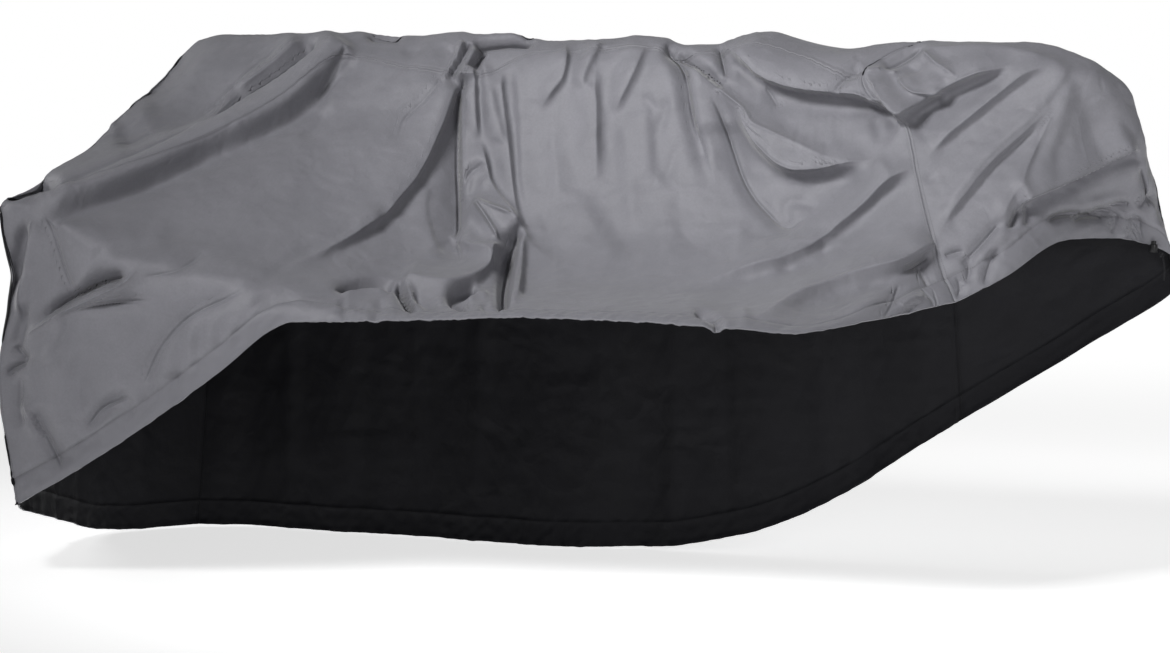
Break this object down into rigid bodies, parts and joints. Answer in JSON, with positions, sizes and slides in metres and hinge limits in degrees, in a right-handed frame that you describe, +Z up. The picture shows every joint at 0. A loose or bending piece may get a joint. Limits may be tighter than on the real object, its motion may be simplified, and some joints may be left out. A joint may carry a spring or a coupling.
{
  "type": "outdoor sofa cover",
  "caption": "Fitted outdoor sofa cover of coated cloth in sewn panels, draped in folds over its ridge with the front lifted, with a drawcord hem and a cord lock.",
  "frame": {"origin": "the point that carries the cover, under the middle of its ridge, 1.0 m above the floor and 0.66 m behind the front", "axes": "+X to the right along the cover as seen from the front, +Y from the front to the back, +Z up"},
  "size_m": [2.1414, 0.9256, 1.0317],
  "materials": {
    "coated_cloth": "semi-matt coated polyester",
    "black_plastic": "moulded",
    "black_braid": "braided cord"
  },
  "bodies": {
    "root": {"top_panel": "coated_cloth", "front_panel": "coated_cloth", "back_panel": "coated_cloth", "left_end_panel": "coated_cloth", "right_end_panel": "coated_cloth", "cord_lock": "black_plastic", "cord_lock_button": "black_plastic", "drawcord_knot": "black_braid", "drawcord": "black_braid"}
  },
  "joints": []
}
